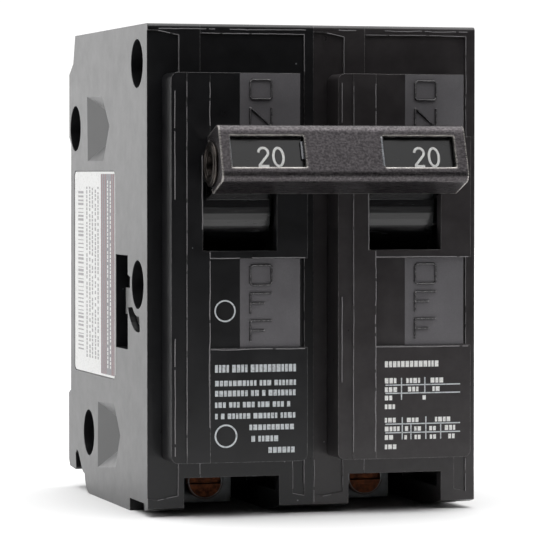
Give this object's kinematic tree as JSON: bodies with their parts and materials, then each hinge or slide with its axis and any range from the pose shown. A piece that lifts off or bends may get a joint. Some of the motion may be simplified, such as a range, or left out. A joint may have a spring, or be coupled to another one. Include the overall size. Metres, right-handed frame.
{
  "type": "two-pole plug-in circuit breaker",
  "caption": "Two-pole plug-in panel breaker with tied handles, a common trip bar, load terminals and stab jaws at the back.",
  "frame": {"origin": "middle of the load end's flat face, on the seam between the poles and halfway through the depth of the case", "axes": "+Z from the load end to the line end, handles facing -Y, panel rail at +Y, +X across the poles to the right"},
  "size_m": [0.0508, 0.0678, 0.0725],
  "materials": {
    "case_black": "satin black thermoset moulding",
    "case_charcoal": "satin charcoal thermoset moulding",
    "rivet_steel": "dull plated steel",
    "label_paper": "printed label stock",
    "handle_black": "gloss black moulding",
    "tie_steel": "blackened steel sheet, worn at its edges",
    "pin_steel": "blackened tubular rivet",
    "trip_black": "matt black moulding",
    "copper": "bare copper",
    "silver": "silver alloy contact",
    "spring_steel": "spring steel",
    "plate_steel": "cold rolled steel",
    "fibre": "vulcanised fibre",
    "bimetal_strip": "rolled bimetal",
    "lug_aluminium": "tin plated aluminium",
    "screw_brass": "plated screw with a brown tarnish"
  },
  "bodies": {
    "case": {"left_pole_cover": "case_black", "left_pole_base": "case_black", "right_pole_cover": "case_charcoal", "right_pole_base": "case_charcoal", "case_rivets": "rivet_steel", "rating_label": "label_paper", "left_arm_pin": "spring_steel", "right_arm_pin": "spring_steel", "left_fixed_contact": "silver", "right_fixed_contact": "silver", "left_line_jaw": "copper", "right_line_jaw": "copper", "left_jaw_spring": "spring_steel", "right_jaw_spring": "spring_steel", "left_arc_plates": "plate_steel", "right_arc_plates": "plate_steel", "left_arc_liners": "fibre", "right_arc_liners": "fibre", "left_cradle_pin": "spring_steel", "right_cradle_pin": "spring_steel", "left_toggle_spring": "spring_steel", "right_toggle_spring": "spring_steel", "left_magnet_yoke": "plate_steel", "right_magnet_yoke": "plate_steel", "left_bimetal": "bimetal_strip", "right_bimetal": "bimetal_strip", "left_braid": "copper", "right_braid": "copper", "left_load_strap": "copper", "right_load_strap": "copper", "left_calibration_screw": "plate_steel", "right_calibration_screw": "plate_steel", "left_lug": "lug_aluminium", "right_lug": "lug_aluminium"},
    "handles": {"left_handle": "handle_black", "right_handle": "handle_black", "handle_tie": "tie_steel", "tie_pin": "pin_steel"},
    "trip_bar": {"common_trip_bar": "trip_black"},
    "left_arm": {"left_contact_arm": "copper", "left_contact_tip": "silver"},
    "left_latch": {"left_cradle": "plate_steel"},
    "left_magnet_plate": {"left_armature": "plate_steel"},
    "left_clamp": {"left_pressure_shoe": "plate_steel"},
    "left_terminal_screw": {"left_lug_screw": "screw_brass"},
    "right_arm": {"right_contact_arm": "copper", "right_contact_tip": "silver"},
    "right_latch": {"right_cradle": "plate_steel"},
    "right_magnet_plate": {"right_armature": "plate_steel"},
    "right_clamp": {"right_pressure_shoe": "plate_steel"},
    "right_terminal_screw": {"right_lug_screw": "screw_brass"}
  },
  "joints": [
    {"name": "handle_swing", "type": "hinge", "parent": "case", "child": "handles", "pos_m": [0, -0.0205, 0.0463], "axis": [1, 0, 0], "range_deg": [0, 39]},
    {"name": "trip_bar_turn", "type": "hinge", "parent": "case", "child": "trip_bar", "pos_m": [0, -0.02, 0.03405], "axis": [1, 0, 0], "range_deg": [0, 8], "stiffness_Nm_per_rad": 0.01, "springref_deg": -2.86},
    {"name": "left_contact_swing", "type": "hinge", "parent": "case", "child": "left_arm", "pos_m": [-0.0129, -0.0065, 0.0473], "axis": [1, 0, 0], "range_deg": [0, 25], "deforming": ["left_toggle_spring", "left_braid"]},
    {"name": "left_cradle_release", "type": "hinge", "parent": "case", "child": "left_latch", "pos_m": [-0.0102, -0.002, 0.0393], "axis": [1, 0, 0], "range_deg": [0, 16]},
    {"name": "left_armature_pull", "type": "hinge", "parent": "case", "child": "left_magnet_plate", "pos_m": [-0.0129, 0.0125, 0.0263], "axis": [1, 0, 0], "range_deg": [-4, 0], "stiffness_Nm_per_rad": 0.01, "springref_deg": 2.86},
    {"name": "left_clamp_slide", "type": "slide", "parent": "case", "child": "left_clamp", "axis": [0, 1, 0], "range_m": [0, 0.0024]},
    {"name": "left_screw_turn", "type": "hinge", "parent": "left_clamp", "child": "left_terminal_screw", "pos_m": [-0.0134, -0.01, 0.00405], "axis": [0, 1, 0], "range_deg": [0, 1080]},
    {"name": "right_contact_swing", "type": "hinge", "parent": "case", "child": "right_arm", "pos_m": [0.0125, -0.0065, 0.0473], "axis": [1, 0, 0], "range_deg": [0, 25], "deforming": ["right_toggle_spring", "right_braid"]},
    {"name": "right_cradle_release", "type": "hinge", "parent": "case", "child": "right_latch", "pos_m": [0.0152, -0.002, 0.0393], "axis": [1, 0, 0], "range_deg": [0, 16]},
    {"name": "right_armature_pull", "type": "hinge", "parent": "case", "child": "right_magnet_plate", "pos_m": [0.0125, 0.0125, 0.0263], "axis": [1, 0, 0], "range_deg": [-4, 0], "stiffness_Nm_per_rad": 0.01, "springref_deg": 2.86},
    {"name": "right_clamp_slide", "type": "slide", "parent": "case", "child": "right_clamp", "axis": [0, 1, 0], "range_m": [0, 0.0024]},
    {"name": "right_screw_turn", "type": "hinge", "parent": "right_clamp", "child": "right_terminal_screw", "pos_m": [0.012, -0.01, 0.00405], "axis": [0, 1, 0], "range_deg": [0, 1080]}
  ],
  "couplings": [
    {"joint": "left_contact_swing", "follows": "handle_swing", "ratio": 0.64},
    {"joint": "left_cradle_release", "follows": "trip_bar_turn", "ratio": 2},
    {"joint": "left_screw_turn", "follows": "left_clamp_slide", "rad_per_m": 7854},
    {"joint": "right_contact_swing", "follows": "handle_swing", "ratio": 0.64},
    {"joint": "right_cradle_release", "follows": "trip_bar_turn", "ratio": 2},
    {"joint": "right_screw_turn", "follows": "right_clamp_slide", "rad_per_m": 7854}
  ]
}
